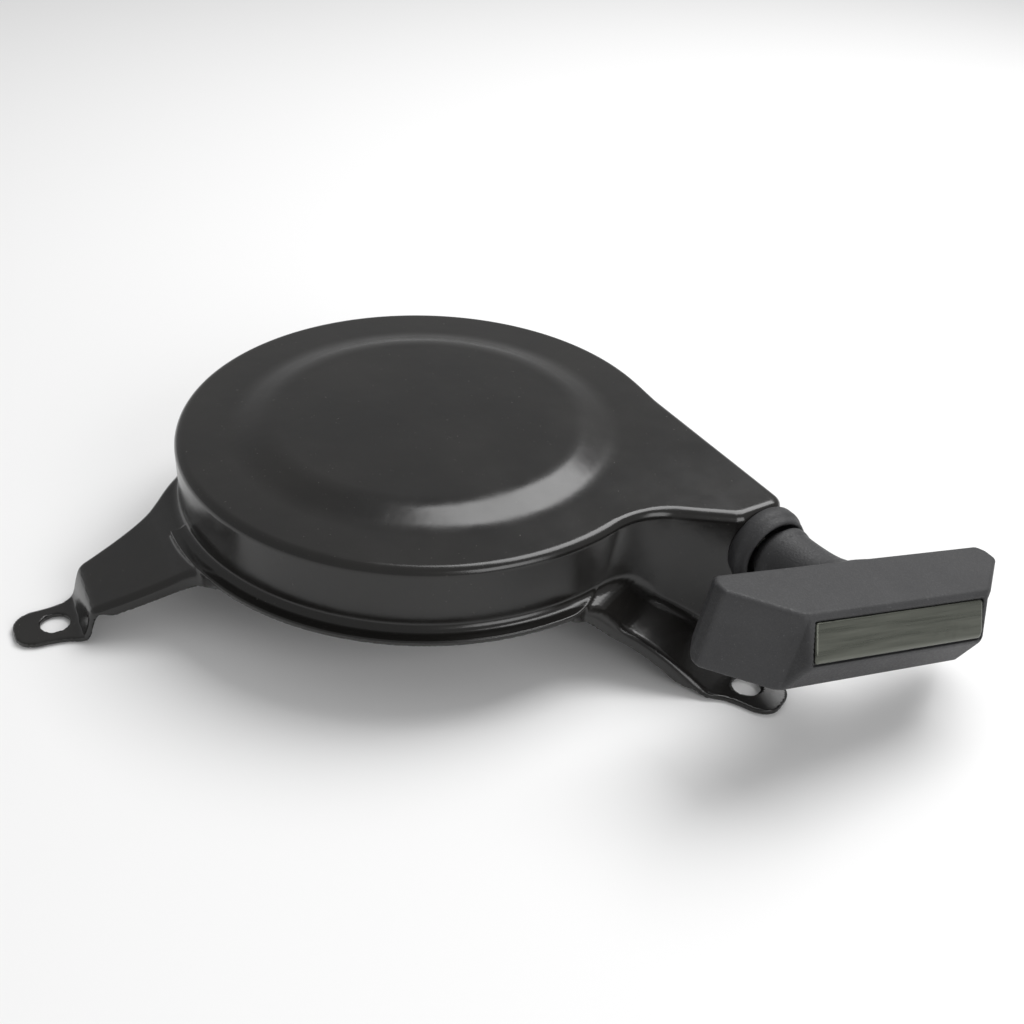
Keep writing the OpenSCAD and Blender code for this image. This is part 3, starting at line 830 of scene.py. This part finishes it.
def moulded(name, base, rough):
    mat, tree, bsdf, co = shader(name, base, rough)
    clouds = noise(tree, co, 50, 4)
    tone = mix_color(
        tree,
        map_range(tree, clouds, 0.3, 0.7, 0, 1),
        tuple(c * 0.8 for c in base),
        tuple(c * 1.15 for c in base),
    )
    tree.links.new(tone, bsdf.inputs["Base Color"])
    gloss = map_range(tree, clouds, 0.3, 0.7, rough - 0.1, rough + 0.1)
    tree.links.new(gloss, bsdf.inputs["Roughness"])
    bump(tree, bsdf, noise(tree, co, 800, 3), 0.2, 0.0002)
    return mat


# Metals: name, light tone, dark tone, roughness, stretch of the lines, their scale
METALS = (
    ("zinc_steel", (0.62, 0.61, 0.57), (0.46, 0.45, 0.42), 0.34, (1, 1, 0.3), 3),
    ("spring_steel", (0.32, 0.34, 0.38), (0.2, 0.21, 0.24), 0.3, (1, 1, 0.2), 4),
    ("pawl_steel", (0.44, 0.42, 0.38), (0.3, 0.28, 0.25), 0.42, (1, 1, 1), 6),
    ("bronze", (0.62, 0.42, 0.2), (0.48, 0.3, 0.13), 0.4, (1, 1, 1), 8),
)
CAP_TONES = ((0.125, 0.13, 0.11), (0.085, 0.09, 0.075))
materials = {
    "housing_paint": paint(),
    "black_plastic": plastic(),
    "cap_plate": brushed(
        "cap_brushed", *CAP_TONES, 0.3, (1, 0.04, 1), 22, 0.7, (ROLL, 0, YAW)
    ),
    "reel_plastic": moulded("reel_plastic", (0.10, 0.10, 0.105), 0.45),
    "rope_nylon": nylon(),
}
for metal in METALS:
    materials[metal[0]] = brushed(*metal)
slot_of = {s["node"]: s["material_slot"] for s in frame["record"]["subparts"]}
for node_name, obj in nodes.items():
    obj.data.materials.clear()
    obj.data.materials.append(materials[slot_of[node_name]])
for obj in (housing, grip, guide, lead, winding, cap):
    obj.data.materials.append(materials[obj["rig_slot"]])

# ---- floor, light and camera ------------------------------------------------------------

FLOOR_HALF, FLOOR_Z = 3, -0.0004
floor_mat = shader("floor_white", (0.86, 0.86, 0.86), 0.9)[0]
corners = [(-1, -1), (1, -1), (1, 1), (-1, 1)]
floor_points = [(FLOOR_HALF * a, FLOOR_HALF * b, FLOOR_Z) for a, b in corners]
floor = new_object("floor", floor_points, [(0, 1, 2, 3)], False)
floor.data.materials.append(floor_mat)

world = bpy.data.worlds.new("studio")
bpy.context.scene.world = world
world.use_nodes = True
background = world.node_tree.nodes["Background"]
background.inputs["Color"].default_value = (1, 1, 1, 1)
background.inputs["Strength"].default_value = 0.42


def light(name, at, aim, size, power, color=(1, 1, 1)):
    data = bpy.data.lights.new(name, "AREA")
    data.shape = "RECTANGLE"
    data.size, data.size_y = size
    data.energy = power
    data.color = color
    obj = bpy.data.objects.new(name, data)
    bpy.context.scene.collection.objects.link(obj)
    obj.location = at
    obj.rotation_euler = (Vector(aim) - Vector(at)).to_track_quat("-Z", "Y").to_euler()
    return obj


light("key", (-0.1, 0.5, 0.9), (0, 0, 0), (0.7, 0.7), 9)
light("fill", (0.9, 0.1, 0.5), (0, 0, 0.03), (0.5, 0.5), 3)

# Camera at the photograph's viewing angle: metres, degrees and millimetres
CAMERA_AT = (0.273284, -0.145308, 0.227352)
CAMERA_TURN = (55.1179, -3.0148, 59.1179)
LENS, SENSOR = 42.857, 36
camera = bpy.data.objects.new("camera", bpy.data.cameras.new("camera"))
bpy.context.scene.collection.objects.link(camera)
camera.location = CAMERA_AT
camera.rotation_euler = [math.radians(a) for a in CAMERA_TURN]
camera.data.lens = LENS
camera.data.sensor_width = SENSOR
camera.data.clip_start = 0.01
bpy.context.scene.camera = camera
bpy.context.scene.view_settings.view_transform = "Standard"

bpy.context.view_layer.update()
